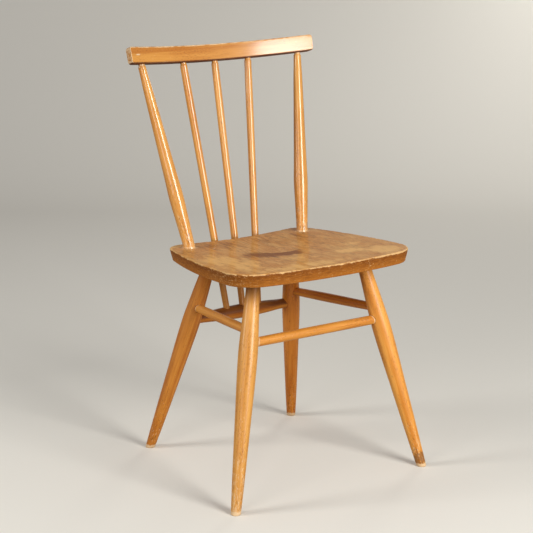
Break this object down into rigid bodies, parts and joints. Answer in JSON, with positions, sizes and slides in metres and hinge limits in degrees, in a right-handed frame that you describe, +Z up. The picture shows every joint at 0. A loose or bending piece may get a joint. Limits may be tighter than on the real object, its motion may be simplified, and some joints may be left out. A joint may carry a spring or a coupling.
{
  "type": "stick-back kitchen chair",
  "caption": "Wooden stick-back kitchen chair: dished plank seat, splayed turned legs joined by stretchers, swelled outer back posts, slim inner sticks and a bent crest rail; worn clear finish.",
  "frame": {"origin": "on the floor, under the middle of the chair's box", "axes": "+Z up, +X to the right of somebody who stands in front of the chair, -Y the way the seat faces"},
  "size_m": [0.4692, 0.4572, 0.8422],
  "materials": {
    "beech": "clear gloss lacquer, worn and scuffed low on the legs",
    "elm": "old satin lacquer, worn through on the top and the upper edge"
  },
  "bodies": {
    "root": {"seat": "elm", "front_left_leg": "beech", "front_right_leg": "beech", "rear_left_leg": "beech", "rear_right_leg": "beech", "front_stretcher": "beech", "left_stretcher": "beech", "right_stretcher": "beech", "rear_stretcher": "beech", "left_post": "beech", "right_post": "beech", "left_stick": "beech", "centre_stick": "beech", "right_stick": "beech", "crest_rail": "beech"}
  },
  "joints": []
}
